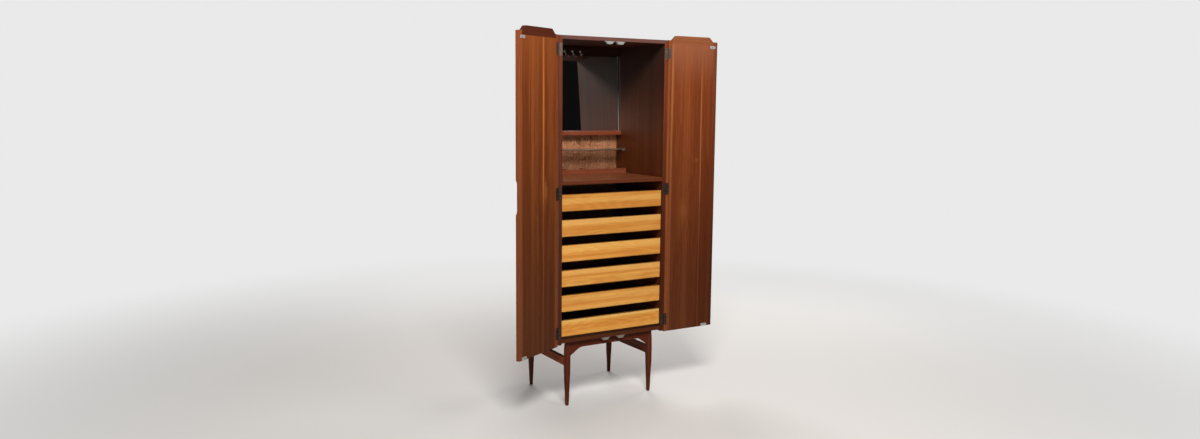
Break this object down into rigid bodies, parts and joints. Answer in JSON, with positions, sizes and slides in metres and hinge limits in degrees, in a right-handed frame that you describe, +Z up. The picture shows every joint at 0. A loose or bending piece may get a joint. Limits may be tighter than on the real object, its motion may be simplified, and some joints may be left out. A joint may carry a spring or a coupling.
{
  "type": "gentlemans wardrobe",
  "caption": "Tall narrow wooden wardrobe on shaped legs, with hinged doors, shirt drawers, a leaning mirror, a glass shelf, a divided tray and tie hooks.",
  "frame": {"origin": "centre of the bounding box's base on the floor, with both doors open as in the picture", "axes": "+Z up, +X to the right as seen from the front, +Y from the front towards the back"},
  "size_m": [1.202, 0.5924, 1.809],
  "materials": {
    "carcass_wood": "satin varnished teak veneer",
    "door_wood": "satin varnished teak veneer, vertical grain",
    "edge_wood": "satin varnished solid teak",
    "crest_wood": "satin varnished solid teak, grain along the rail",
    "drawer_front_wood": "satin varnished oak, grain across",
    "drawer_box_wood": "plain dark hardwood and plywood",
    "back_wood": "satin figured veneer",
    "tray_wood": "satin red stained hardwood",
    "base_wood": "satin dark stained hardwood",
    "silvered_glass": "bevelled mirror",
    "clear_glass": "clear with a green edge",
    "hinge_metal": "aged nickel plate",
    "screw_metal": "plain steel",
    "catch_metal": "matt",
    "strike_metal": "bright zinc plate",
    "hook_metal": "bright plated"
  },
  "bodies": {
    "cabinet": {"side_left": "carcass_wood", "side_right": "carcass_wood", "top_board": "carcass_wood", "bottom_board": "carcass_wood", "centre_shelf": "carcass_wood", "back_panel": "back_wood", "mirror": "silvered_glass", "mirror_ledge": "carcass_wood", "hook_rail": "carcass_wood", "tie_hooks": "hook_metal", "glass_shelf": "clear_glass", "shelf_studs": "catch_metal", "tray_lip": "tray_wood", "tray_dividers": "tray_wood", "runners_left": "drawer_box_wood", "runners_right": "drawer_box_wood", "hinge_leaves_left_cabinet": "hinge_metal", "hinge_leaves_right_cabinet": "hinge_metal", "hinge_pins_left": "hinge_metal", "hinge_pins_right": "hinge_metal", "hinge_screws_cabinet": "screw_metal", "catches_top": "catch_metal", "catches_bottom": "catch_metal", "leg_front_left": "base_wood", "leg_front_right": "base_wood", "leg_back_left": "base_wood", "leg_back_right": "base_wood", "apron_front": "base_wood", "apron_back": "base_wood", "side_rail_left": "base_wood", "side_rail_right": "base_wood", "base_screws": "screw_metal"},
    "door_left": {"door_panel_left": "door_wood", "hinge_stile_left": "edge_wood", "free_stile_left": "edge_wood", "crest_rail_left": "crest_wood", "strike_plates_left": "strike_metal", "hinge_leaves_left_door": "hinge_metal", "hinge_screws_left_door": "screw_metal"},
    "door_right": {"door_panel_right": "door_wood", "hinge_stile_right": "edge_wood", "free_stile_right": "edge_wood", "crest_rail_right": "crest_wood", "strike_plates_right": "strike_metal", "hinge_leaves_right_door": "hinge_metal", "hinge_screws_right_door": "screw_metal"},
    "drawer_1": {"drawer_front_1": "drawer_front_wood", "drawer_box_1": "drawer_box_wood"},
    "drawer_2": {"drawer_front_2": "drawer_front_wood", "drawer_box_2": "drawer_box_wood"},
    "drawer_3": {"drawer_front_3": "drawer_front_wood", "drawer_box_3": "drawer_box_wood"},
    "drawer_4": {"drawer_front_4": "drawer_front_wood", "drawer_box_4": "drawer_box_wood"},
    "drawer_5": {"drawer_front_5": "drawer_front_wood", "drawer_box_5": "drawer_box_wood"},
    "drawer_6": {"drawer_front_6": "drawer_front_wood", "drawer_box_6": "drawer_box_wood"}
  },
  "joints": [
    {"name": "left_door_hinge", "type": "hinge", "parent": "cabinet", "child": "door_left", "pos_m": [-0.32001, -0.15654, 1.03], "axis": [0, 0, -1], "range_deg": [-152.7, 35.3]},
    {"name": "right_door_hinge", "type": "hinge", "parent": "cabinet", "child": "door_right", "pos_m": [0.29499, -0.15654, 1.03], "axis": [0, 0, 1], "range_deg": [-180, 8]},
    {"name": "drawer_1_slide", "type": "slide", "parent": "cabinet", "child": "drawer_1", "axis": [0, -1, 0], "range_m": [0, 0.33]},
    {"name": "drawer_2_slide", "type": "slide", "parent": "cabinet", "child": "drawer_2", "axis": [0, -1, 0], "range_m": [0, 0.33]},
    {"name": "drawer_3_slide", "type": "slide", "parent": "cabinet", "child": "drawer_3", "axis": [0, -1, 0], "range_m": [0, 0.33]},
    {"name": "drawer_4_slide", "type": "slide", "parent": "cabinet", "child": "drawer_4", "axis": [0, -1, 0], "range_m": [0, 0.33]},
    {"name": "drawer_5_slide", "type": "slide", "parent": "cabinet", "child": "drawer_5", "axis": [0, -1, 0], "range_m": [0, 0.33]},
    {"name": "drawer_6_slide", "type": "slide", "parent": "cabinet", "child": "drawer_6", "axis": [0, -1, 0], "range_m": [0, 0.33]}
  ]
}
